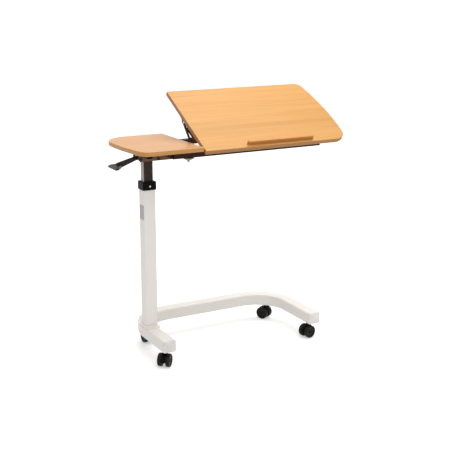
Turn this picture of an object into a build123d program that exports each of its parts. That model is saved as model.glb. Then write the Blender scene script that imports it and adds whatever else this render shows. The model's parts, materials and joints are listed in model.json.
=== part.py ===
from build123d import *
import os
from math import cos, radians, sin, sqrt

# Overbed table: one column on a bent U base with four twin-wheel castors, a fixed side top
# and a larger top that tilts. Millimetres, +Z up. The user sits on the -Y side, the column
# stands at the left (-X) end. Positions below are taken from the column axis.

# ---- driving dimensions -------------------------------------------------------------------
top_length = 877
top_depth = 360
tilt_depth = 372
top_thick = 16
top_height = 810
fixed_right = 146
top_left = 109
top_gap = 3
bow_radius = 940
fixed_bow_shift = 30
fixed_corners = (29, 102)
tilt_bow_shift = -45
tilt_corners = (57, 32)
small_corner = 5
band_thick = 3
band_round = 2.4

tube_width = 50
tube_height = 46
tube_wall = 2
tube_round = 6
base_length = 682
base_depth = 368
base_clear = 63
bend_radius = 144
arm_offset = -5
cap_thick = 6
plug_depth = 12

column_width = 47
column_depth = 47
column_wall = 2
column_round = 4
column_gap = 82
mast_width = 37
mast_depth = 30
mast_wall = 2
mast_round = 3
mast_bottom = 212
guide_height = 40
collar_height = 30
collar_wall = 3.5
collar_cap = 5

plate_thick = 4
plate_width = 56
plate_length = 94
foot_bolt = 8
foot_bolt_x = 12
foot_bolt_y = 36

wheel_radius = 25
wheel_width = 16
wheel_inset = 7.5
castor_trail = 10
axle_dia = 8
stem_dia = 8
stem_low = 34
socket_dia = 18
socket_height = 23
fork_gap = 5
castor_end = 40
castor_overhang = 8.4

rail_width = 25
arm_width = 20
rail_height = 19
rail_wall = 1.5
pad_thick = 4
front_rail_inset = 41
rear_rail_inset = 58
rail_left = 40
rail_right = 654
head_left = -42
head_right = 98
fixed_arm_x = (-32, 50)
tilt_arm_x = (176, 636)
head_height = 24
head_width = 52
head_sheet = 3

tilt_angle = 28.8
hinge_setback = 24
hinge_drop = 4.8
knuckle_radius = 4.5
hinge_pin = 5
hinge_length = 60
hinge_x = (230, 600)
leaf_thick = 2
stay_ratio = 1.65
stay_pivot_run = 81.5
stay_pivot_drop = 11.2
stay_thick = 3
stay_width = 12
stud_dia = 8
slot_clear = 1.4

lever_pivot_x = -34
lever_tip = 136
paddle_width = 80
cylinder_dia = 22
rod_dia = 8
release_dia = 3
screw_dia = 3.5

running = 0.05
swing = 0.1

# ---- derived sizes ------------------------------------------------------------------------
cos_t = cos(radians(tilt_angle))
sin_t = sin(radians(tilt_angle))
tilt_left = fixed_right + top_gap
tilt_right = top_length - top_left
column_x = (lever_tip - tilt_right) / 2
column_y = castor_overhang / 2
top_under = top_height - top_thick
rail_top = top_under - pad_thick
rail_bottom = rail_top - rail_height
head_bottom = rail_bottom - head_height
plate_under_head = rail_bottom - head_sheet
column_top = head_bottom - column_gap
front_rail_y = -top_depth / 2 + front_rail_inset
rear_rail_y = top_depth / 2 - rear_rail_inset
base_top = base_clear + tube_height
column_bottom = base_top + plate_thick
arm_x = arm_offset
far_x = arm_x + base_length - tube_width
base_rear = top_depth / 2
base_back = base_rear - tube_width / 2
base_front = base_rear - base_depth + cap_thick
bend_shift = bend_radius * (1 - cos(radians(45)))
castor_y = base_rear - base_depth + castor_end
castor_spots = (
    (arm_x, castor_y),
    (far_x, castor_y),
    (far_x - bend_shift, base_back - bend_shift),
    (arm_x + bend_shift, base_back - bend_shift),
)
castor_names = ("front_left", "front_right", "rear_right", "rear_left")
castor_turns = (227.6, 193, 117, 270)
hinge_y = -top_depth / 2 + hinge_setback
hinge_z = top_under - hinge_drop
stay_y = hinge_y + stay_pivot_run
stay_z = hinge_z - stay_pivot_drop
stay_lift = stay_pivot_run * sin_t - stay_pivot_drop * (1 - cos_t)
stay_length = stay_lift / sin(radians((stay_ratio - 1) * tilt_angle))
stay_angle = radians(stay_ratio * tilt_angle)
stud_y = stay_y + stay_length * cos(stay_angle)
stud_z = stay_z + stay_length * sin(stay_angle)
front_rail_back = front_rail_y + rail_width / 2
rear_rail_front = rear_rail_y - rail_width / 2


# ---- workplanes ---------------------------------------------------------------------------
def level(height):
    return Plane(origin=(column_x, column_y, height))


def foot_level(height):
    return Plane(origin=(column_x + arm_x / 2, column_y, height))


def side(x):
    return Plane(origin=(column_x + x, column_y, 0), x_dir=(0, 1, 0), z_dir=(1, 0, 0))


def front(y):
    return Plane(origin=(column_x, column_y + y, 0), x_dir=(1, 0, 0), z_dir=(0, -1, 0))


def tilted(height):
    hinge = (column_x, column_y + hinge_y, hinge_z)
    return Plane(origin=hinge, x_dir=(1, 0, 0), z_dir=(0, -sin_t, cos_t)).offset(height)


def tilted_side(x):
    hinge = (column_x + x, column_y + hinge_y, hinge_z)
    return Plane(origin=hinge, x_dir=(0, cos_t, sin_t), z_dir=(1, 0, 0))


def castor_plane(spot, turn):
    heading = (cos(radians(turn)), sin(radians(turn)), 0)
    return Plane(origin=(column_x + spot[0], column_y + spot[1], 0), x_dir=heading, z_dir=(0, 0, 1))


def castor_side(spot, turn):
    flat = castor_plane(spot, turn)
    return Plane(origin=flat.origin, x_dir=flat.x_dir, z_dir=-flat.y_dir)


def save(piece, name):
    piece.part.label = name
    export_step(piece.part, f"parts/{name}.step")


os.makedirs("parts", exist_ok=True)

# ---- base: one bent rectangular tube ------------------------------------------------------
arm_start = Plane(
    origin=(column_x + arm_x, column_y + base_front, base_clear + tube_height / 2),
    x_dir=(1, 0, 0),
    z_dir=(0, 1, 0),
)
base_run = (
    (arm_x, base_front),
    (arm_x, base_back),
    (far_x, base_back),
    (far_x, base_front),
)
with BuildPart() as base_tube:
    with BuildLine(level(base_clear + tube_height / 2)) as base_path:
        FilletPolyline(*base_run, radius=bend_radius)
    with BuildSketch(arm_start):
        RectangleRounded(tube_width, tube_height, tube_round)
    sweep(path=base_path.line)
    with BuildSketch(arm_start):
        RectangleRounded(tube_width - 2 * tube_wall, tube_height - 2 * tube_wall, tube_round - tube_wall)
    sweep(path=base_path.line, mode=Mode.SUBTRACT)
    with BuildSketch(level(base_clear)):
        with Locations(*castor_spots):
            Circle(socket_dia / 2 + running)
    extrude(amount=tube_wall, mode=Mode.SUBTRACT)
    with BuildSketch(foot_level(base_top)):
        with GridLocations(2 * foot_bolt_x, 2 * foot_bolt_y, 2, 2):
            Circle(foot_bolt / 2 + running)
    extrude(amount=-tube_round, mode=Mode.SUBTRACT)
save(base_tube, "base_tube")

with BuildPart() as base_end_caps:
    for cap_x in (arm_x, far_x):
        with BuildSketch(front(base_front)):
            with Locations((cap_x, base_clear + tube_height / 2)):
                RectangleRounded(tube_width, tube_height, tube_round)
        extrude(amount=cap_thick)
        with BuildSketch(front(base_front)):
            with Locations((cap_x, base_clear + tube_height / 2)):
                RectangleRounded(
                    tube_width - 2 * tube_wall - 2 * running,
                    tube_height - 2 * tube_wall - 2 * running,
                    tube_round - tube_wall,
                )
        extrude(amount=-plug_depth)
    fillet(base_end_caps.faces().filter_by(Axis.Y).group_by(Axis.Y)[0].edges(), 3)
save(base_end_caps, "base_end_caps")

# ---- castors ------------------------------------------------------------------------------
with BuildPart() as castor_sockets:
    with BuildSketch(level(base_clear)):
        with Locations(*castor_spots):
            Circle(socket_dia / 2)
            Circle(stem_dia / 2 + 1 + running, mode=Mode.SUBTRACT)
    extrude(amount=socket_height)
save(castor_sockets, "castor_sockets")

fork_top = base_clear - fork_gap
flange_low = fork_top + swing
with BuildPart() as castor_stems:
    with BuildSketch(level(flange_low)):
        with Locations(*castor_spots):
            Circle(10)
    extrude(amount=base_clear - flange_low)
    with BuildSketch(level(base_clear)):
        with Locations(*castor_spots):
            Circle(stem_dia / 2 + 1)
    extrude(amount=socket_height)
    with BuildSketch(level(flange_low)):
        with Locations(*castor_spots):
            Circle(stem_dia / 2)
    extrude(amount=stem_low - flange_low)
save(castor_stems, "castor_stems")

web_half = wheel_inset - 1
fork_radius = wheel_radius + 2
fork_low = wheel_radius - 4
hub_radius = axle_dia / 2 + 7
boss_low = 2 * wheel_radius + 1.5
axle_half = wheel_inset + wheel_width - 1
for spot, turn, name in zip(castor_spots, castor_turns, castor_names):
    flank = castor_side(spot, turn)
    axle = (castor_trail, wheel_radius)
    with BuildPart() as castor_fork:
        with BuildSketch(flank):
            with Locations(axle):
                Circle(fork_radius)
            with Locations((castor_trail, fork_low - fork_radius)):
                Rectangle(2 * fork_radius, 2 * fork_radius, mode=Mode.SUBTRACT)
            with Locations(axle):
                Circle(hub_radius)
            with Locations((0, (stem_low - 4 + fork_top) / 2)):
                Rectangle(2 * web_half, fork_top - stem_low + 4)
        extrude(amount=web_half, both=True)
        with BuildSketch(castor_plane(spot, turn).offset(boss_low)):
            Circle(hub_radius)
        extrude(amount=fork_top - boss_low)
        with BuildSketch(flank):
            with Locations(axle):
                Circle(axle_dia / 2)
        extrude(amount=axle_half, both=True)
        with BuildSketch(castor_plane(spot, turn).offset(fork_top)):
            Circle(stem_dia / 2 + running)
        extrude(amount=stem_low - 1 - fork_top, mode=Mode.SUBTRACT)
    save(castor_fork, f"castor_{name}_fork")
    for hand, wheel_name in ((1, "outer"), (-1, "inner")):
        with BuildPart() as castor_wheel:
            with BuildSketch(flank.offset(hand * wheel_inset)):
                with Locations(axle):
                    Circle(wheel_radius)
            extrude(amount=hand * wheel_width)
            fillet(castor_wheel.edges().filter_by(GeomType.CIRCLE), 3)
            with BuildSketch(flank.offset(hand * (wheel_inset + wheel_width))):
                with Locations(axle):
                    Circle(wheel_radius - 7)
                    Circle(axle_dia / 2 + 4, mode=Mode.SUBTRACT)
            extrude(amount=-hand * 2, mode=Mode.SUBTRACT)
            with BuildSketch(flank.offset(hand * wheel_inset)):
                with Locations(axle):
                    Circle(axle_dia / 2 + running)
            extrude(amount=hand * wheel_width, mode=Mode.SUBTRACT)
        save(castor_wheel, f"castor_{name}_wheel_{wheel_name}")

# ---- column foot --------------------------------------------------------------------------
with BuildPart() as foot_plate:
    with BuildSketch(foot_level(base_top)):
        RectangleRounded(plate_width, plate_length, 10)
        with GridLocations(2 * foot_bolt_x, 2 * foot_bolt_y, 2, 2):
            Circle(foot_bolt / 2 + running, mode=Mode.SUBTRACT)
    extrude(amount=plate_thick)
save(foot_plate, "foot_plate")

nut_plate_thick = 5
nut_top = base_top - tube_wall
with BuildPart() as foot_nut_plate:
    with BuildSketch(foot_level(nut_top)):
        Rectangle(2 * foot_bolt_x + foot_bolt + 1, plate_length - 10)
        with GridLocations(2 * foot_bolt_x, 2 * foot_bolt_y, 2, 2):
            Circle(foot_bolt / 2 + running, mode=Mode.SUBTRACT)
    extrude(amount=-nut_plate_thick)
save(foot_nut_plate, "foot_nut_plate")

with BuildPart() as foot_bolts:
    with BuildSketch(foot_level(column_bottom)):
        with GridLocations(2 * foot_bolt_x, 2 * foot_bolt_y, 2, 2):
            Circle(foot_bolt * 0.8)
    extrude(amount=4)
    fillet(foot_bolts.faces().group_by(Axis.Z)[-1].edges(), 2.5)
    with BuildSketch(foot_level(column_bottom)):
        with GridLocations(2 * foot_bolt_x, 2 * foot_bolt_y, 2, 2):
            Circle(foot_bolt / 2)
    extrude(amount=nut_top - nut_plate_thick - column_bottom - 3)
save(foot_bolts, "foot_bolts")

# ---- column -------------------------------------------------------------------------------
bore_width = column_width - 2 * column_wall
bore_depth = column_depth - 2 * column_wall
screw_z = column_top - 11
with BuildPart() as outer_column:
    with BuildSketch(level(column_bottom)):
        RectangleRounded(column_width, column_depth, column_round)
        RectangleRounded(bore_width, bore_depth, column_round - column_wall, mode=Mode.SUBTRACT)
    extrude(amount=column_top - column_bottom)
    with BuildSketch(front(0)):
        with Locations((0, screw_z)):
            Circle(2 + running)
    extrude(amount=column_depth, mode=Mode.SUBTRACT)
save(outer_column, "outer_column")

with BuildPart() as column_collar:
    with BuildSketch(level(column_top + collar_cap - collar_height)):
        RectangleRounded(column_width + 2 * collar_wall, column_depth + 2 * collar_wall, column_round + 2)
    extrude(amount=collar_height)
    fillet(column_collar.faces().group_by(Axis.Z)[-1].edges(), 2)
    with BuildSketch(level(column_top + collar_cap - collar_height)):
        RectangleRounded(column_width, column_depth, column_round)
    extrude(amount=collar_height - collar_cap, mode=Mode.SUBTRACT)
    with BuildSketch(level(column_top - collar_height)):
        RectangleRounded(bore_width - 2 * running, bore_depth - 2 * running, column_round - column_wall)
    extrude(amount=collar_height)
    with BuildSketch(level(column_top - collar_height)):
        RectangleRounded(mast_width + 2 * running, mast_depth + 2 * running, mast_round)
    extrude(amount=collar_height + collar_cap, mode=Mode.SUBTRACT)
    with BuildSketch(front(-mast_depth / 2)):
        with Locations((0, screw_z)):
            Circle(2 + running)
    extrude(amount=column_depth, mode=Mode.SUBTRACT)
save(column_collar, "column_collar")

collar_face = column_depth / 2 + collar_wall
with BuildPart() as collar_screw:
    with BuildSketch(front(-collar_face)):
        with Locations((0, screw_z)):
            Circle(3.5)
    extrude(amount=1.8)
    fillet(collar_screw.faces().sort_by(Axis.Y)[0].edges(), 1)
    with BuildSketch(front(-collar_face)):
        with Locations((0, screw_z)):
            Circle(2)
    extrude(amount=-(collar_face - mast_depth / 2 - 1))
save(collar_screw, "collar_screw")

label_drop = 111
label_width = column_depth - 10
label_height = 55
with BuildPart() as label_plate:
    with BuildSketch(side(-column_width / 2)):
        with Locations((0, column_top - label_drop)):
            RectangleRounded(label_width, label_height, 3)
    extrude(amount=-0.6)
save(label_plate, "label_plate")

# ---- sliding mast -------------------------------------------------------------------------
mast_top = plate_under_head
slot_low = head_bottom + 2
with BuildPart() as mast_tube:
    with BuildSketch(level(mast_bottom)):
        RectangleRounded(mast_width, mast_depth, mast_round)
        RectangleRounded(
            mast_width - 2 * mast_wall,
            mast_depth - 2 * mast_wall,
            mast_round - mast_wall,
            mode=Mode.SUBTRACT,
        )
    extrude(amount=mast_top - mast_bottom)
    with BuildSketch(side(0)):
        with Locations((0, (slot_low + mast_top) / 2)):
            Rectangle(13, mast_top - slot_low)
    extrude(amount=-mast_width, mode=Mode.SUBTRACT)
save(mast_tube, "mast_tube")

with BuildPart() as mast_guide:
    with BuildSketch(level(mast_bottom)):
        RectangleRounded(bore_width - 2 * running, bore_depth - 2 * running, column_round - column_wall)
        RectangleRounded(mast_width, mast_depth, mast_round, mode=Mode.SUBTRACT)
    extrude(amount=guide_height)
save(mast_guide, "mast_guide")

# ---- gas spring ---------------------------------------------------------------------------
seat_height = 12
cylinder_drop = 164
cylinder_low = column_bottom + seat_height
cylinder_top = column_top - cylinder_drop
cylinder_bore = cylinder_dia - 3
gland_height = 12
with BuildPart() as cylinder_seat:
    with BuildSketch(level(column_bottom)):
        RectangleRounded(bore_width - 2 * running, bore_depth - 2 * running, column_round - column_wall)
        Circle(5 + running, mode=Mode.SUBTRACT)
    extrude(amount=seat_height)
save(cylinder_seat, "cylinder_seat")

with BuildPart() as gas_cylinder:
    with BuildSketch(level(cylinder_low)):
        Circle(cylinder_dia / 2)
    extrude(amount=cylinder_top - cylinder_low)
    with BuildSketch(level(column_bottom)):
        Circle(5)
    extrude(amount=seat_height)
    with BuildSketch(level(cylinder_low + 5)):
        Circle(cylinder_bore / 2)
    extrude(amount=cylinder_top, mode=Mode.SUBTRACT)
save(gas_cylinder, "gas_cylinder")

with BuildPart() as gas_gland:
    with BuildSketch(level(cylinder_top - gland_height)):
        Circle(cylinder_bore / 2)
        Circle(rod_dia / 2 + running, mode=Mode.SUBTRACT)
    extrude(amount=gland_height)
save(gas_gland, "gas_gland")

piston_low = mast_bottom + 10
anchor_height = 14
anchor_low = head_bottom - 10 - anchor_height
rod_top = head_bottom - 4
pin_top = head_bottom + 4.6
pin_length = 38
with BuildPart() as gas_rod:
    with BuildSketch(level(piston_low)):
        Circle(rod_dia / 2)
    extrude(amount=rod_top - piston_low)
    with BuildSketch(level(piston_low)):
        Circle(cylinder_bore / 2 - running)
    extrude(amount=10)
    with BuildSketch(level(anchor_low)):
        Circle(7)
    extrude(amount=-4)
    with BuildSketch(level(rod_top)):
        Circle(release_dia / 2 + running)
    extrude(amount=-pin_length, mode=Mode.SUBTRACT)
save(gas_rod, "gas_rod")

with BuildPart() as rod_anchor:
    with BuildSketch(level(anchor_low)):
        Rectangle(mast_width - 2 * mast_wall - 2 * running, mast_depth - 2 * mast_wall - 2 * running)
        Circle(rod_dia / 2 + running, mode=Mode.SUBTRACT)
    extrude(amount=anchor_height)
    fillet(rod_anchor.edges().filter_by(Axis.Z).group_by(SortBy.LENGTH)[-1][:4], 1)
save(rod_anchor, "rod_anchor")

with BuildPart() as rod_nut:
    with BuildSketch(level(anchor_low + anchor_height)):
        RegularPolygon(7, 6)
        Circle(rod_dia / 2 + running, mode=Mode.SUBTRACT)
    extrude(amount=5)
save(rod_nut, "rod_nut")

with BuildPart() as release_pin:
    with BuildSketch(level(pin_top)):
        Circle(release_dia / 2)
    extrude(amount=-pin_length)
save(release_pin, "release_pin")

# ---- head and height lever ----------------------------------------------------------------
pivot_z = head_bottom + 10
tie_x = 36
tie_z = head_bottom + 6
cross_bolt = 6
head_middle = (head_left + head_right) / 2
with BuildPart() as head_channel:
    with BuildSketch(side(head_left)):
        with Locations((0, (head_bottom + rail_bottom) / 2)):
            Rectangle(head_width, head_height)
        with Locations((0, head_bottom + (head_height - head_sheet) / 2)):
            Rectangle(head_width - 2 * head_sheet, head_height - head_sheet, mode=Mode.SUBTRACT)
    extrude(amount=head_right - head_left)
    with BuildSketch(front(0)):
        with Locations((lever_pivot_x, pivot_z), (tie_x, tie_z)):
            Circle(cross_bolt / 2 + running)
        with Locations((head_left, head_bottom)):
            Rectangle(9, 9, rotation=45)
    extrude(amount=head_width, both=True, mode=Mode.SUBTRACT)
    with BuildSketch(level(plate_under_head)):
        with Locations((fixed_arm_x[0], 0), (fixed_arm_x[1], 0)):
            with GridLocations(0, 30, 1, 2):
                Circle(3 + running)
    extrude(amount=head_sheet, mode=Mode.SUBTRACT)
save(head_channel, "head_channel")

with BuildPart() as head_bolts:
    with BuildSketch(level(plate_under_head)):
        with Locations((fixed_arm_x[0], 0), (fixed_arm_x[1], 0)):
            with GridLocations(0, 30, 1, 2):
                RegularPolygon(5.5, 6)
    extrude(amount=-4)
    with BuildSketch(level(plate_under_head)):
        with Locations((fixed_arm_x[0], 0), (fixed_arm_x[1], 0)):
            with GridLocations(0, 30, 1, 2):
                Circle(3)
    extrude(amount=head_sheet + 12)
save(head_bolts, "head_bolts")

with BuildPart() as cross_bolts:
    with BuildSketch(front(-head_width / 2)):
        with Locations((lever_pivot_x, pivot_z), (tie_x, tie_z)):
            RegularPolygon(5.8, 6)
    extrude(amount=4)
    with BuildSketch(front(-head_width / 2)):
        with Locations((lever_pivot_x, pivot_z), (tie_x, tie_z)):
            Circle(cross_bolt / 2)
    extrude(amount=-head_width - 6)
save(cross_bolts, "cross_bolts")

with BuildPart() as cross_nuts:
    with BuildSketch(front(head_width / 2)):
        with Locations((lever_pivot_x, pivot_z), (tie_x, tie_z)):
            RegularPolygon(5.8, 6)
            Circle(cross_bolt / 2 + running, mode=Mode.SUBTRACT)
    extrude(amount=-5)
save(cross_nuts, "cross_nuts")

lever_low = pin_top + 0.4
lever_high = lever_low + 11
lever_width = 12
lever_bend = lever_pivot_x - 8
grip_low = head_bottom - 20
grip_inner = lever_tip - 35
grip_root = grip_inner + 17
grip_thick = 6
lever_shape = (
    (8, lever_low),
    (8, lever_high - 5),
    (2, lever_high - 1),
    (lever_bend, lever_high + 2),
    (-grip_root, grip_low + 19),
    (-grip_root, grip_low + 6),
    (-grip_inner, grip_low + 3),
    (lever_bend, lever_low),
)
with BuildPart() as lever_arm:
    with BuildSketch(front(0)):
        Polygon(*lever_shape, align=None)
        with Locations((lever_pivot_x, pivot_z)):
            Circle(cross_bolt / 2 + running, mode=Mode.SUBTRACT)
    extrude(amount=lever_width / 2, both=True)
save(lever_arm, "lever_arm")

grip_side = (
    (-lever_tip, grip_low),
    (-lever_tip, grip_low + grip_thick),
    (-grip_inner, grip_low + 2.2 * grip_thick + 4),
    (-grip_inner, grip_low + 1.2 * grip_thick - 4),
)
grip_plan = (
    (-lever_tip, paddle_width / 2),
    (-lever_tip, -paddle_width / 2),
    (-lever_tip + 10, -paddle_width / 2),
    (-grip_inner, -lever_width / 2 - 3),
    (-grip_inner, lever_width / 2 + 3),
    (-lever_tip + 10, paddle_width / 2),
)
with BuildPart() as lever_paddle:
    with BuildSketch(front(0)):
        Polygon(*grip_side, align=None)
    extrude(amount=paddle_width / 2, both=True)
    with BuildSketch(level(0)) as plan:
        Polygon(*grip_plan, align=None)
        fillet(plan.vertices(), 4)
    extrude(amount=top_height, mode=Mode.INTERSECT)
    with BuildSketch(front(0)):
        Polygon(*lever_shape, align=None)
    extrude(amount=lever_width / 2, both=True, mode=Mode.SUBTRACT)
save(lever_paddle, "lever_paddle")

# ---- frame under the tops -----------------------------------------------------------------
def box_rail(x0, x1, y0, y1):
    along_x = x1 - x0 > y1 - y0
    open_x = x1 - x0 if along_x else x1 - x0 - 2 * rail_wall
    open_y = y1 - y0 - 2 * rail_wall if along_x else y1 - y0
    with Locations((column_x + (x0 + x1) / 2, column_y + (y0 + y1) / 2, (rail_bottom + rail_top) / 2)):
        Box(x1 - x0, y1 - y0, rail_height)
        Box(open_x, open_y, rail_height - 2 * rail_wall, mode=Mode.SUBTRACT)


knob_x = 102
with BuildPart() as front_rail:
    box_rail(rail_left, rail_right, front_rail_y - rail_width / 2, front_rail_back)
    with BuildSketch(level(rail_bottom)):
        with Locations((knob_x, front_rail_y)):
            Circle(3 + running)
    extrude(amount=rail_wall, mode=Mode.SUBTRACT)
save(front_rail, "front_rail")

bumper_x = (240, 560)
with BuildPart() as rear_rail:
    box_rail(head_left, rail_right, rear_rail_front, rear_rail_y + rail_width / 2)
    with BuildSketch(level(rail_top)):
        with Locations(*[(x, rear_rail_y) for x in bumper_x]):
            Circle(3 + running)
    extrude(amount=-rail_wall, mode=Mode.SUBTRACT)
save(rear_rail, "rear_rail")

short_arm_setback = 80
front_screw_inset = 30
rear_screw_inset = 40
short_arm_front = -top_depth / 2 + short_arm_setback
screw_y = (short_arm_front + front_screw_inset, rear_rail_front - rear_screw_inset)
fixed_screws = [(x, y) for x in fixed_arm_x for y in screw_y]
with BuildPart() as fixed_side_arms:
    half = arm_width / 2
    box_rail(fixed_arm_x[0] - half, fixed_arm_x[0] + half, short_arm_front, rear_rail_front)
    box_rail(fixed_arm_x[1] - half, fixed_arm_x[1] + half, front_rail_back, rear_rail_front)
    with BuildSketch(level(rail_bottom)):
        with Locations(*fixed_screws):
            Circle(2 + running)
    extrude(amount=rail_height, mode=Mode.SUBTRACT)
    with BuildSketch(level(rail_bottom)):
        with Locations((fixed_arm_x[0], 0), (fixed_arm_x[1], 0)):
            with GridLocations(0, 30, 1, 2):
                Circle(3 + running)
    extrude(amount=rail_wall, mode=Mode.SUBTRACT)
save(fixed_side_arms, "fixed_side_arms")

with BuildPart() as tilt_side_arms:
    half = arm_width / 2
    box_rail(tilt_arm_x[0] - half, tilt_arm_x[0] + half, front_rail_back, rear_rail_front)
    box_rail(tilt_arm_x[1] - half, tilt_arm_x[1] + half, front_rail_back, rear_rail_front)
save(tilt_side_arms, "tilt_side_arms")

plug_thick = 2.5
plug_reach = 10
plug_ends = (
    (rail_left, -1, front_rail_y),
    (rail_right, 1, front_rail_y),
    (head_left, -1, rear_rail_y),
    (rail_right, 1, rear_rail_y),
)
with BuildPart() as rail_plugs:
    for end_x, hand, end_y in plug_ends:
        with BuildSketch(side(end_x)):
            with Locations((end_y, (rail_bottom + rail_top) / 2)):
                Rectangle(rail_width, rail_height)
        extrude(amount=hand * plug_thick)
        with BuildSketch(side(end_x)):
            with Locations((end_y, (rail_bottom + rail_top) / 2)):
                Rectangle(rail_width - 2 * rail_wall - 2 * running, rail_height - 2 * rail_wall - 2 * running)
        extrude(amount=-hand * plug_reach)
    with BuildSketch(front(short_arm_front)):
        with Locations((fixed_arm_x[0], (rail_bottom + rail_top) / 2)):
            Rectangle(arm_width, rail_height)
    extrude(amount=plug_thick)
    with BuildSketch(front(short_arm_front)):
        with Locations((fixed_arm_x[0], (rail_bottom + rail_top) / 2)):
            Rectangle(arm_width - 2 * rail_wall - 2 * running, rail_height - 2 * rail_wall - 2 * running)
    extrude(amount=-plug_reach)
save(rail_plugs, "rail_plugs")

with BuildPart() as rest_bumpers:
    with BuildSketch(level(rail_top)):
        with Locations(*[(x, rear_rail_y) for x in bumper_x]):
            Circle(8)
    extrude(amount=pad_thick - 0.4)
    fillet(rest_bumpers.faces().group_by(Axis.Z)[-1].edges(), 1.5)
    with BuildSketch(level(rail_top)):
        with Locations(*[(x, rear_rail_y) for x in bumper_x]):
            Circle(3)
    extrude(amount=-5)
save(rest_bumpers, "rest_bumpers")

knob_radius = 20
knob_height = 15
knob_outline = (
    (0, rail_bottom + 12),
    (3, rail_bottom + 12),
    (3, rail_bottom - 1),
    (knob_radius, rail_bottom - 1),
    (knob_radius, rail_bottom - 3.5),
    (9, rail_bottom - 9.5),
    (5, rail_bottom - 10),
    (4, rail_bottom - 1 - knob_height),
    (0, rail_bottom - 1 - knob_height),
)
knob_axis = Plane(
    origin=(column_x + knob_x, column_y + front_rail_y, 0),
    x_dir=(1, 0, 0),
    z_dir=(0, -1, 0),
)
with BuildPart() as clamp_knob:
    with BuildSketch(knob_axis):
        Polygon(*knob_outline, align=None)
    revolve(axis=Axis(knob_axis.origin, (0, 0, 1)))
save(clamp_knob, "clamp_knob")

# ---- fixed top ----------------------------------------------------------------------------
with BuildSketch() as fixed_shape:
    with Locations(((fixed_right - top_left) / 2, 0)):
        Rectangle(fixed_right + top_left, top_depth)
    with Locations((bow_radius - top_left, fixed_bow_shift)):
        Circle(bow_radius, mode=Mode.INTERSECT)
    for row, corner in zip((0, -1), fixed_corners):
        fillet(fixed_shape.vertices().group_by(Axis.Y)[row].sort_by(Axis.X)[0], corner)
    fillet(fixed_shape.vertices().group_by(Axis.X)[-1], small_corner)

with BuildPart() as fixed_top:
    with BuildSketch(level(top_under)):
        add(fixed_shape.sketch)
        offset(amount=-band_thick)
    extrude(amount=top_thick)
    with BuildSketch(level(top_under)):
        with Locations(*fixed_screws):
            Circle(2 + running)
    extrude(amount=10 + running, mode=Mode.SUBTRACT)
save(fixed_top, "fixed_top")

with BuildPart() as fixed_top_band:
    with BuildSketch(level(top_under)):
        add(fixed_shape.sketch)
    extrude(amount=top_thick)
    fillet(fixed_top_band.faces().sort_by(Axis.Z)[-1].edges(), band_round)
    fillet(fixed_top_band.faces().sort_by(Axis.Z)[0].edges(), band_round)
    with BuildSketch(level(top_under)):
        add(fixed_shape.sketch)
        offset(amount=-band_thick)
    extrude(amount=top_thick, mode=Mode.SUBTRACT)
save(fixed_top_band, "fixed_top_band")

with BuildPart() as fixed_top_pads:
    with BuildSketch(level(rail_top)):
        with Locations(*fixed_screws):
            Rectangle(arm_width - 2, arm_width - 2)
            Circle(2 + running, mode=Mode.SUBTRACT)
    extrude(amount=pad_thick)
save(fixed_top_pads, "fixed_top_pads")

with BuildPart() as fixed_top_screws:
    with BuildSketch(level(rail_bottom)):
        with Locations(*fixed_screws):
            Circle(4)
    extrude(amount=-2.5)
    with BuildSketch(level(rail_bottom)):
        with Locations(*fixed_screws):
            Circle(2)
    extrude(amount=rail_height + pad_thick + 10)
save(fixed_top_screws, "fixed_top_screws")

# ---- tilting top --------------------------------------------------------------------------
tilt_middle = tilt_depth / 2 - hinge_setback
stop_length = 280
stop_height = 15
stop_thick = 10
stop_x = 467
stop_setback = 18
stop_y = stop_setback - hinge_setback
bar_thick = 3
bar_low = -19
bar_start = 95
bar_end = 208
flange_start = 60
flange_width = 12
bar_gap = 3
bar_hands = (-1, 1)
arm_faces = (tilt_arm_x[0] - arm_width / 2, tilt_arm_x[1] + arm_width / 2)
screw_bite = 10
screw_hole = screw_dia / 2 + running
leaf_run = 20
leaf_wide = leaf_run - 6
leaf_screws = [(x + dx, -13) for x in hinge_x for dx in (-20, 20)]
stop_screws = [(stop_x + dx, stop_y) for dx in (-stop_length / 4, stop_length / 4)]
bar_screw_reach = bar_gap + flange_width - 3.5
bar_screw_x = [face + hand * bar_screw_reach for face, hand in zip(arm_faces, bar_hands)]
bar_screw_y = (flange_start + 12, (flange_start + bar_end) / 2, bar_end - 12)
bar_screws = [(x, y) for x in bar_screw_x for y in bar_screw_y]
normal = Axis((0, 0, 0), (0, -sin_t, cos_t))

with BuildSketch() as tilt_shape:
    with Locations(((tilt_left + tilt_right) / 2, tilt_middle)):
        Rectangle(tilt_right - tilt_left, tilt_depth)
    with Locations((tilt_right - bow_radius, tilt_middle + tilt_bow_shift)):
        Circle(bow_radius, mode=Mode.INTERSECT)
    for row, corner in zip((0, -1), tilt_corners):
        fillet(tilt_shape.vertices().group_by(Axis.Y)[row].sort_by(Axis.X)[-1], corner)
    fillet(tilt_shape.vertices().group_by(Axis.X)[0], small_corner)

with BuildPart() as tilt_top:
    with BuildSketch(tilted(hinge_drop)):
        add(tilt_shape.sketch)
        offset(amount=-band_thick)
    extrude(amount=top_thick)
    with BuildSketch(tilted(hinge_drop)):
        with Locations(*leaf_screws, *bar_screws):
            Circle(screw_hole)
    extrude(amount=screw_bite + running, mode=Mode.SUBTRACT)
    with BuildSketch(tilted(hinge_drop)):
        with Locations(*stop_screws):
            Circle(screw_hole)
    extrude(amount=top_thick, mode=Mode.SUBTRACT)
save(tilt_top, "tilt_top")

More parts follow.
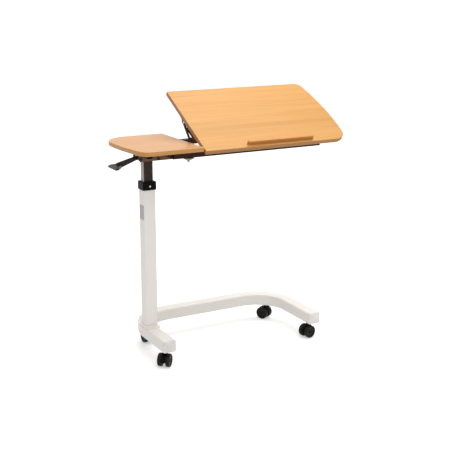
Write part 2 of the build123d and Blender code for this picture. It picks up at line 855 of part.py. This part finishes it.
with BuildPart() as tilt_top_band:
    with BuildSketch(tilted(hinge_drop)):
        add(tilt_shape.sketch)
    extrude(amount=top_thick)
    fillet(tilt_top_band.faces().sort_by(normal)[-1].edges(), band_round)
    fillet(tilt_top_band.faces().sort_by(normal)[0].edges(), band_round)
    with BuildSketch(tilted(hinge_drop)):
        add(tilt_shape.sketch)
        offset(amount=-band_thick)
    extrude(amount=top_thick, mode=Mode.SUBTRACT)
save(tilt_top_band, "tilt_top_band")

with BuildPart() as book_stop:
    with BuildSketch(tilted(hinge_drop + top_thick)):
        with Locations((stop_x, stop_y)):
            Rectangle(stop_length, stop_thick)
    extrude(amount=stop_height)
    fillet(book_stop.faces().sort_by(normal)[-1].edges(), 1.5)
    with BuildSketch(tilted(hinge_drop + top_thick)):
        with Locations(*stop_screws):
            Circle(screw_hole)
    extrude(amount=screw_bite + running, mode=Mode.SUBTRACT)
save(book_stop, "book_stop")

screw_sets = (
    (leaf_screws, hinge_drop - leaf_thick, leaf_thick + screw_bite),
    (stop_screws, hinge_drop, top_thick + screw_bite),
    (bar_screws, hinge_drop - bar_thick, bar_thick + screw_bite),
)
with BuildPart() as tilt_top_screws:
    for spots, head_level, reach in screw_sets:
        with BuildSketch(tilted(head_level)):
            with Locations(*spots):
                Circle(screw_dia)
        extrude(amount=-1.5)
        with BuildSketch(tilted(head_level)):
            with Locations(*spots):
                Circle(screw_dia / 2)
        extrude(amount=reach)
save(tilt_top_screws, "tilt_top_screws")

# ---- hinges -------------------------------------------------------------------------------
knuckle_half = 14
leaf_low = rail_bottom + 3
with BuildPart() as hinge_frame_leaves:
    for x in hinge_x:
        with BuildSketch(side(x)):
            with Locations((hinge_y, hinge_z)):
                Circle(knuckle_radius)
            with Locations((hinge_y + knuckle_radius - leaf_thick / 2, (leaf_low + hinge_z) / 2)):
                Rectangle(leaf_thick, hinge_z - leaf_low)
            with Locations((hinge_y, hinge_z)):
                Circle(hinge_pin / 2 + running, mode=Mode.SUBTRACT)
        extrude(amount=hinge_length / 2, both=True)
        with BuildSketch(side(x)):
            with Locations((hinge_y, hinge_z)):
                Rectangle(4 * knuckle_radius, 2 * knuckle_radius + 2)
        extrude(amount=knuckle_half + swing, both=True, mode=Mode.SUBTRACT)
save(hinge_frame_leaves, "hinge_frame_leaves")

with BuildPart() as hinge_panel_leaves:
    for x in hinge_x:
        with BuildSketch(tilted_side(x)):
            Circle(knuckle_radius)
        extrude(amount=knuckle_half, both=True)
        with BuildSketch(tilted_side(x)):
            with Locations((-leaf_run / 2, hinge_drop - leaf_thick / 2)):
                Rectangle(leaf_run, leaf_thick)
        extrude(amount=knuckle_half, both=True)
        with BuildSketch(tilted_side(x)):
            with Locations((-leaf_run + leaf_wide / 2, hinge_drop - leaf_thick / 2)):
                Rectangle(leaf_wide, leaf_thick)
        extrude(amount=hinge_length / 2, both=True)
        with BuildSketch(tilted_side(x)):
            Circle(hinge_pin / 2 + running)
        extrude(amount=knuckle_half, both=True, mode=Mode.SUBTRACT)
    with BuildSketch(tilted(hinge_drop - leaf_thick)):
        with Locations(*leaf_screws):
            Circle(screw_hole)
    extrude(amount=leaf_thick, mode=Mode.SUBTRACT)
save(hinge_panel_leaves, "hinge_panel_leaves")

with BuildPart() as hinge_pins:
    for x in hinge_x:
        with BuildSketch(side(x)):
            with Locations((hinge_y, hinge_z)):
                Circle(hinge_pin / 2)
        extrude(amount=hinge_length / 2, both=True)
save(hinge_pins, "hinge_pins")

# ---- ratchet: slotted bars on the tilting top, stays on the frame --------------------------
def stud_run(angle):
    lift = stay_pivot_run * sin(radians(angle)) - stay_pivot_drop * (1 - cos(radians(angle)))
    reach = sqrt(stay_length**2 - lift**2)
    return stay_pivot_run * cos(radians(angle)) - stay_pivot_drop * sin(radians(angle)) + reach


slot_half = stud_dia / 2 + slot_clear
slot_near = stud_run(tilt_angle + 8)
slot_far = stud_run(0)
bar_round = 8
bar_high = hinge_drop - bar_thick
notches = [(stud_run(a), -stay_pivot_drop + slot_clear) for a in (0, 10, 20, tilt_angle)]
with BuildPart() as slotted_bars:
    for face, hand in zip(arm_faces, bar_hands):
        with BuildSketch(tilted_side(face + hand * bar_gap)) as web:
            with Locations(((bar_start + bar_end) / 2, (bar_low + hinge_drop) / 2)):
                Rectangle(bar_end - bar_start, hinge_drop - bar_low)
            fillet(web.vertices().group_by(Axis.Y)[0], bar_round)
            with Locations(((slot_near + slot_far) / 2, -stay_pivot_drop)):
                SlotCenterToCenter(slot_far - slot_near, 2 * slot_half, mode=Mode.SUBTRACT)
            with Locations(*notches):
                Circle(stud_dia / 2 + 0.3, mode=Mode.SUBTRACT)
        extrude(amount=hand * bar_thick)
        with BuildSketch(tilted(bar_high)):
            with Locations((face + hand * (bar_gap + flange_width / 2), (flange_start + bar_end) / 2)):
                Rectangle(flange_width, bar_end - flange_start)
        extrude(amount=bar_thick)
    with BuildSketch(tilted(bar_high)):
        with Locations(*bar_screws):
            Circle(screw_hole)
    extrude(amount=bar_thick, mode=Mode.SUBTRACT)
save(slotted_bars, "slotted_bars")

spacer = bar_gap + bar_thick + 1
stay_reach = spacer + swing
for name, arm_face, hand in zip(("left", "right"), arm_faces, bar_hands):
    stay_face = arm_face + hand * stay_reach
    with BuildPart() as stay:
        with BuildSketch(side(stay_face)):
            with Locations((stay_y, stay_z), (stud_y, stud_z)):
                Circle(stay_width / 2)
            make_hull()
        extrude(amount=hand * stay_thick)
        with BuildSketch(side(stay_face)):
            with Locations((stay_y, stay_z)):
                Circle(stud_dia / 2 + running)
        extrude(amount=hand * stay_thick, mode=Mode.SUBTRACT)
        with BuildSketch(side(stay_face)):
            with Locations((stud_y, stud_z)):
                Circle(stud_dia / 2)
        extrude(amount=hand * (bar_gap - 2 - stay_reach))
        with BuildSketch(side(arm_face + hand * (bar_gap - 0.6))):
            with Locations((stud_y, stud_z)):
                Circle(stud_dia / 2 + 2)
        extrude(amount=-hand * 1.4)
    save(stay, f"stay_{name}")

with BuildPart() as stay_pivots:
    for arm_face, hand in zip(arm_faces, bar_hands):
        with BuildSketch(side(arm_face)):
            with Locations((stay_y, stay_z)):
                Circle(stay_width / 2)
        extrude(amount=hand * spacer)
        with BuildSketch(side(arm_face)):
            with Locations((stay_y, stay_z)):
                Circle(stud_dia / 2)
        extrude(amount=hand * (stay_reach + stay_thick + swing))
        with BuildSketch(side(arm_face + hand * (stay_reach + stay_thick + swing))):
            with Locations((stay_y, stay_z)):
                Circle(stay_width / 2)
        extrude(amount=hand * 1.2)
save(stay_pivots, "stay_pivots")
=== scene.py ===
import json
import math

import bpy
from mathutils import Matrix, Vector


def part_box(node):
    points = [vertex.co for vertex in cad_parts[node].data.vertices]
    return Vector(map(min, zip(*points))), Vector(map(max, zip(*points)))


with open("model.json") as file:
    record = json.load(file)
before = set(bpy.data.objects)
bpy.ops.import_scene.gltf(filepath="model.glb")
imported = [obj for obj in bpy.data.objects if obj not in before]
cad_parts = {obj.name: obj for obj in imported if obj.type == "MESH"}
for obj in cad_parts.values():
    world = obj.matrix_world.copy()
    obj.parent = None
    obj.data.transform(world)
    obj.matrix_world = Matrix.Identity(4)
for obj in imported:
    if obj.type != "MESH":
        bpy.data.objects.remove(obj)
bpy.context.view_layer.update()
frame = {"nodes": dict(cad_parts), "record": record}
NODES = frame["nodes"]

# Where the column's axis meets the floor; the camera is set out from it.
column_low, column_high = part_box("outer_column")
AXIS = Vector(((column_low.x + column_high.x) / 2, (column_low.y + column_high.y) / 2, 0))
# The larger top's angle at rest: its grain lies along its own faces.
TILT = math.radians(28.8)
# Powder coat of the base and column, linear RGB.
WARM_WHITE = (0.87, 0.828, 0.783)
# Wood grain: features per metre along X, Y and Z.
BAND_GRAIN = (0.9, 24, 24)
FIBRE_GRAIN = (3.5, 190, 190)
FLECK_GRAIN = (55, 620, 620)
# Lines left by drawing the mast, and by making the bare steel pieces, likewise.
DRAWN_GRAIN = (350, 350, 6)
STEEL_GRAIN = (60, 60, 900)
# The floor's half width, its gap under the wheels and its grey.
FLOOR_HALF = 40.0
FLOOR_GAP = 0.0005
FLOOR_GREY = 0.78
# Distance from the middle, in metres, and the floor's own light there, where it is seen directly.
NEAR_LIFT = (0.7, 0.42)
FAR_LIFT = (2.6, 0.72)
# The world's strength as light; seen directly it is plain white.
WORLD_LIGHT = 0.50
# The camera: focal length in mm, heading and height of the view, and place from the column's foot.
LENS = 77.1
TURN = math.radians(-28.535)
RISE = math.radians(14.523)
CAMERA_OFFSET = Vector((-1.4035, -3.1809, 1.4002))


# ---- node helpers -------------------------------------------------------------------------
class Shader:
    """A material under construction, with short names for the nodes it needs."""

    def __init__(self, name):
        self.mat = bpy.data.materials.new(name)
        self.mat.use_nodes = True
        self.tree = self.mat.node_tree
        self.nodes = self.tree.nodes
        self.bsdf = self.nodes["Principled BSDF"]

    def add(self, kind, **props):
        node = self.nodes.new(kind)
        for key, value in props.items():
            setattr(node, key, value)
        return node

    def link(self, a, b):
        self.tree.links.new(a, b)

    def coords(self, scale=(1, 1, 1), tilt=0.0):
        """Object coordinates, turned back by tilt about X and then scaled."""
        source = self.add("ShaderNodeTexCoord").outputs["Object"]
        if tilt:
            turn = self.add("ShaderNodeMapping")
            turn.inputs["Rotation"].default_value = (-tilt, 0, 0)
            self.link(source, turn.inputs["Vector"])
            source = turn.outputs["Vector"]
        size = self.add("ShaderNodeMapping")
        size.inputs["Scale"].default_value = scale
        self.link(source, size.inputs["Vector"])
        return size.outputs["Vector"]

    def noise(self, vector, scale, detail=4.0, rough=0.55, distort=0.0):
        """Noise with about scale features per unit of vector."""
        node = self.add("ShaderNodeTexNoise")
        node.inputs["Scale"].default_value = scale
        node.inputs["Detail"].default_value = detail
        node.inputs["Roughness"].default_value = rough
        node.inputs["Distortion"].default_value = distort
        self.link(vector, node.inputs["Vector"])
        return node.outputs["Fac"]

    def ramp(self, fac, stops):
        """Colours picked by fac from (place, colour) stops."""
        node = self.add("ShaderNodeValToRGB")
        self.link(fac, node.inputs["Fac"])
        ramp = node.color_ramp
        while len(ramp.elements) < len(stops):
            ramp.elements.new(0.5)
        for element, (place, colour) in zip(ramp.elements, stops):
            element.position = place
            element.color = (*colour, 1)
        return node.outputs["Color"]

    def grey(self, fac, low, high, out_low=0.0, out_high=1.0):
        """fac with low..high stretched to out_low..out_high and the ends held."""
        node = self.add("ShaderNodeMapRange")
        node.inputs["From Min"].default_value = low
        node.inputs["From Max"].default_value = high
        node.inputs["To Min"].default_value = out_low
        node.inputs["To Max"].default_value = out_high
        self.link(fac, node.inputs["Value"])
        return node.outputs["Result"]

    def mix(self, fac, a, b):
        """Colour a turning to b as fac goes from 0 to 1; each is a tuple or a socket."""
        node = self.add("ShaderNodeMix", data_type="RGBA")
        self.link(fac, node.inputs["Factor"])
        for value, socket in ((a, node.inputs[6]), (b, node.inputs[7])):
            if isinstance(value, tuple):
                socket.default_value = (*value, 1)
            else:
                self.link(value, socket)
        return node.outputs[2]

    def bump(self, height, strength, distance):
        node = self.add("ShaderNodeBump")
        node.inputs["Strength"].default_value = strength
        node.inputs["Distance"].default_value = distance
        self.link(height, node.inputs["Height"])
        self.link(node.outputs["Normal"], self.bsdf.inputs["Normal"])

    def surface(self, colour, rough, metal=0.0, specular=0.5):
        self.link(colour, self.bsdf.inputs["Base Color"])
        self.link(rough, self.bsdf.inputs["Roughness"])
        self.bsdf.inputs["Metallic"].default_value = metal
        self.bsdf.inputs["Specular IOR Level"].default_value = specular


def shade(colour, factor):
    """The colour made lighter or darker, up to full white."""
    return tuple(min(1.0, c * factor) for c in colour)


# ---- materials ----------------------------------------------------------------------------
def beech(name, colour, tilt=0.0, contrast=1.0, rough=0.36, specular=0.4):
    """Beech laminate: long soft bands, fine fibres and short flecks, all along X."""
    s = Shader(name)
    bands = s.noise(s.coords(BAND_GRAIN, tilt), 1.0, 4.0, rough=0.66, distort=0.5)
    fibres = s.noise(s.coords(FIBRE_GRAIN, tilt), 1.0, 5.0, rough=0.6)
    flecks = s.noise(s.coords(FLECK_GRAIN, tilt), 1.0, 2.0, rough=0.5)
    dark = shade(colour, 1 - 0.14 * contrast)
    warm = (dark[0], dark[1] * 0.95, dark[2] * 0.86)
    pale = shade(colour, 1 + 0.05 * contrast)
    tone = s.ramp(bands, [(0.3, warm), (0.52, colour), (0.72, pale)])
    tone = s.mix(s.grey(fibres, 0.35, 0.75, 0.0, 0.5 * contrast), tone, shade(warm, 0.93))
    tone = s.mix(s.grey(flecks, 0.62, 0.72, 0.0, 0.4 * contrast), tone, shade(warm, 0.72))
    s.surface(tone, s.grey(fibres, 0.3, 0.8, rough - 0.05, rough + 0.07), specular=specular)
    s.bump(fibres, 0.08, distance=0.0003)
    return s.mat


def powder_coat(name, colour, rough=0.38, specular=0.5, peel=0.10, grime=0.04):
    """Powder-coated steel: orange peel, faint cloudiness and worn, slightly smoother patches."""
    s = Shader(name)
    peel_height = s.noise(s.coords(), 900.0, 2.0, rough=0.5)
    cloud = s.noise(s.coords(), 9.0, rough=0.6)
    wear = s.noise(s.coords(), 55.0, 5.0, rough=0.65)
    tone = s.mix(s.grey(cloud, 0.35, 0.75), colour, shade(colour, 1 - grime))
    s.surface(tone, s.grey(wear, 0.3, 0.75, rough - 0.06, rough + 0.08), specular=specular)
    s.bump(peel_height, peel, distance=0.0004)
    return s.mat


def plastic(name, colour, rough=0.42, grain=0.16, specular=0.5):
    """Moulded plastic with a fine spark-eroded grain."""
    s = Shader(name)
    grain_height = s.noise(s.coords(), 1500.0, 3.0, rough=0.6)
    cloud = s.noise(s.coords(), 30.0, rough=0.6)
    tone = s.mix(s.grey(cloud, 0.3, 0.8), colour, shade(colour, 1.35))
    s.surface(tone, s.grey(cloud, 0.3, 0.8, rough - 0.06, rough + 0.08), specular=specular)
    s.bump(grain_height, grain, distance=0.0003)
    return s.mat


def bare_steel(name, colour=(0.56, 0.55, 0.53), rough=0.28):
    """Drawn or zinc-plated steel with fine lines."""
    s = Shader(name)
    lines = s.noise(s.coords(STEEL_GRAIN), 1.0, rough=0.6)
    patches = s.noise(s.coords(), 45.0, 3.0, rough=0.5)
    tone = s.mix(s.grey(patches, 0.3, 0.7, 0.0, 0.6), colour, shade(colour, 0.82))
    s.surface(tone, s.grey(lines, 0.3, 0.7, rough - 0.08, rough + 0.12), metal=1.0)
    s.bump(lines, 0.06, distance=0.0002)
    return s.mat


def mast_painted_reflection(name):
    """Dark coated mast whose two side faces are painted pale grey: a painted reflection standing
    in for the sheen those faces catch at a grazing angle.
    """
    s = Shader(name)
    normal = s.add("ShaderNodeTexCoord").outputs["Normal"]
    split = s.add("ShaderNodeSeparateXYZ")
    s.link(normal, split.inputs[0])
    absolute = s.add("ShaderNodeMath", operation="ABSOLUTE")
    s.link(split.outputs["X"], absolute.inputs[0])
    # side picks the two faces along X, where the painted reflection goes.
    side = s.grey(absolute.outputs[0], 0.72, 0.93)
    drawn = s.noise(s.coords(DRAWN_GRAIN), 1.0, rough=0.6)
    cloud = s.noise(s.coords(), 14.0, rough=0.6)
    dark = s.mix(s.grey(cloud, 0.35, 0.7), (0.025, 0.011, 0.004), (0.038, 0.019, 0.009))
    # pale is a painted reflection: a grey standing in for the sheen the side faces catch, not
    # strips on the mast.
    pale = s.mix(s.grey(drawn, 0.3, 0.7), (0.40, 0.372, 0.36), (0.485, 0.45, 0.44))
    s.surface(s.mix(side, dark, pale), s.grey(drawn, 0.3, 0.7, 0.30, 0.42), specular=0.2)
    s.bump(drawn, 0.05, distance=0.0002)
    return s.mat


materials = {
    "beech_top": beech("beech_laminate", (0.53, 0.268, 0.099), specular=0.36),
    # Painted light: the tilted top is the same laminate, given a lighter, less blue colour to
    # stand in for the way it is lit.
    "beech_tilt_painted_light": beech("beech_laminate_tilted_painted_light", (0.558, 0.284, 0.079), TILT, specular=0.15),
    "beech_edge": beech("beech_edge_band", (0.60, 0.295, 0.084), contrast=1.2, rough=0.4),
    # Painted shade: the tilted top's edge band is the same banding, given a much darker colour to
    # stand in for the shade on its down-facing edges.
    "beech_edge_tilt_painted_shade": beech(
        "beech_edge_band_tilted_painted_shade", (0.395, 0.18, 0.042), TILT, contrast=1.2, rough=0.4
    ),
    "beech_stop": beech(
        "stained_beech", (0.57, 0.245, 0.06), TILT, contrast=1.3, rough=0.35, specular=0.2
    ),
    "white_steel": powder_coat("white_powder_coat", WARM_WHITE),
    "white_plastic": plastic("white_moulding", shade(WARM_WHITE, 0.80), rough=0.45, grain=0.08),
    "dark_steel": powder_coat(
        "brown_powder_coat", (0.038, 0.0145, 0.0045), rough=0.45, specular=0.12
    ),
    # The head channel's paler brown is partly its own colour and partly painted light that lifts
    # the shaded head under the top.
    "head_brown_and_painted_light": powder_coat(
        "paler_brown_coat_and_painted_light", (0.19, 0.102, 0.052), rough=0.45, specular=0.2
    ),
    "black_steel": powder_coat("black_powder_coat", (0.018, 0.013, 0.011), 0.40, specular=0.2),
    "black_plastic": plastic(
        "black_moulding", (0.003, 0.0028, 0.0025), rough=0.40, grain=0.14, specular=0.05
    ),
    "paddle_plastic": plastic(
        "black_moulding_paddle", (0.008, 0.0075, 0.007), grain=0.18, specular=0.30
    ),
    "wheel_plastic": plastic("black_wheel", (0.010, 0.009, 0.008), grain=0.10, specular=0.12),
    "grey_plastic": plastic("grey_moulding", (0.20, 0.20, 0.195)),
    "label_grey": plastic("blank_grey_label", (0.40, 0.385, 0.39), rough=0.5, grain=0.05),
    "nylon": plastic("natural_nylon", (0.70, 0.68, 0.62), rough=0.5, grain=0.08),
    "rubber": plastic("black_rubber", (0.020, 0.020, 0.020), rough=0.75, grain=0.25),
    "steel": bare_steel("zinc_plated_steel"),
    "chrome": bare_steel("polished_rod", (0.68, 0.68, 0.68), rough=0.12),
    "mast_steel": mast_painted_reflection("mast_coating_painted_reflection"),
}
slots = {entry["node"]: entry["material_slot"] for entry in frame["record"]["subparts"]}
# Nodes that don't wear their slot's plain finish.
special = {
    "tilt_top": "beech_tilt_painted_light",
    "tilt_top_band": "beech_edge_tilt_painted_shade",
    "head_channel": "head_brown_and_painted_light",
    "lever_paddle": "paddle_plastic",
}
for name, obj in NODES.items():
    chosen = materials[special.get(name, slots[name])]
    obj.data.materials.clear()
    obj.data.materials.append(chosen)


# ---- floor and background -----------------------------------------------------------------
def seen_directly(tree):
    """1 for the camera's own rays, reflections and transmission, and 0 for the light they get."""
    path = tree.nodes.new("ShaderNodeLightPath")
    result = path.outputs["Is Camera Ray"]
    for other in ("Is Glossy Ray", "Is Transmission Ray"):
        larger = tree.nodes.new("ShaderNodeMath")
        larger.operation = "MAXIMUM"
        tree.links.new(result, larger.inputs[0])
        tree.links.new(path.outputs[other], larger.inputs[1])
        result = larger.outputs[0]
    return result


floor_mesh = bpy.data.meshes.new("floor")
corners = [(x * FLOOR_HALF, y * FLOOR_HALF, 0) for x, y in ((-1, -1), (1, -1), (1, 1), (-1, 1))]
floor_mesh.from_pydata(corners, [], [(0, 1, 2, 3)])
floor = bpy.data.objects.new("floor", floor_mesh)
bpy.context.scene.collection.objects.link(floor)
floor.location.z = -FLOOR_GAP
floor_mat = bpy.data.materials.new("pale_floor")
floor_mat.use_nodes = True
tree = floor_mat.node_tree
floor_bsdf = tree.nodes["Principled BSDF"]
floor_bsdf.inputs["Base Color"].default_value = (FLOOR_GREY, FLOOR_GREY, FLOOR_GREY, 1)
floor_bsdf.inputs["Roughness"].default_value = 0.9
floor_bsdf.inputs["Specular IOR Level"].default_value = 0.1
spread = tree.nodes.new("ShaderNodeVectorMath")
spread.operation = "LENGTH"
tree.links.new(tree.nodes.new("ShaderNodeTexCoord").outputs["Object"], spread.inputs[0])
fade = tree.nodes.new("ShaderNodeMapRange")
fade.inputs["From Min"].default_value, fade.inputs["To Min"].default_value = NEAR_LIFT
fade.inputs["From Max"].default_value, fade.inputs["To Max"].default_value = FAR_LIFT
tree.links.new(spread.outputs["Value"], fade.inputs["Value"])
lift = tree.nodes.new("ShaderNodeMath")
lift.operation = "MULTIPLY"
tree.links.new(fade.outputs["Result"], lift.inputs[1])
tree.links.new(seen_directly(tree), lift.inputs[0])
floor_bsdf.inputs["Emission Color"].default_value = (1, 1, 1, 1)
tree.links.new(lift.outputs[0], floor_bsdf.inputs["Emission Strength"])
floor_mesh.materials.append(floor_mat)

world = bpy.data.worlds.new("studio")
bpy.context.scene.world = world
world.use_nodes = True
tree = world.node_tree
background = tree.nodes["Background"]
background.inputs["Color"].default_value = (1.0, 1.0, 1.0, 1)
strength = tree.nodes.new("ShaderNodeMapRange")
strength.inputs["To Min"].default_value = WORLD_LIGHT
strength.inputs["To Max"].default_value = 1.0
tree.links.new(seen_directly(tree), strength.inputs["Value"])
tree.links.new(strength.outputs["Result"], background.inputs["Strength"])


# ---- lamps --------------------------------------------------------------------------------
def softbox(name, place, target, side, watts):
    """A square area lamp at place, in metres, turned to target."""
    data = bpy.data.lights.new(name, "AREA")
    data.shape = "SQUARE"
    data.size = side
    data.energy = watts
    lamp = bpy.data.objects.new(name, data)
    bpy.context.scene.collection.objects.link(lamp)
    lamp.location = place
    lamp.rotation_mode = "QUATERNION"
    lamp.rotation_quaternion = (Vector(target) - Vector(place)).to_track_quat("-Z", "Y")


softbox("key", (-1.0, -2.8, 3.4), (0, 0, 0.5), 2.4, 46)
softbox("top", (0.6, 0.2, 3.6), (0, 0, 0.6), 3.0, 112)

# ---- camera -------------------------------------------------------------------------------
camera_data = bpy.data.cameras.new("camera")
camera_data.sensor_width = 36.0
camera_data.lens = LENS
camera_data.clip_start, camera_data.clip_end = 0.05, 100.0
camera = bpy.data.objects.new("camera", camera_data)
bpy.context.scene.collection.objects.link(camera)
back = Vector(
    (math.sin(TURN) * math.cos(RISE), -math.cos(TURN) * math.cos(RISE), math.sin(RISE))
)
camera.location = AXIS + CAMERA_OFFSET
camera.rotation_mode = "QUATERNION"
camera.rotation_quaternion = (-back).to_track_quat("-Z", "Y")
bpy.context.scene.camera = camera
bpy.context.scene.view_settings.view_transform = "Standard"
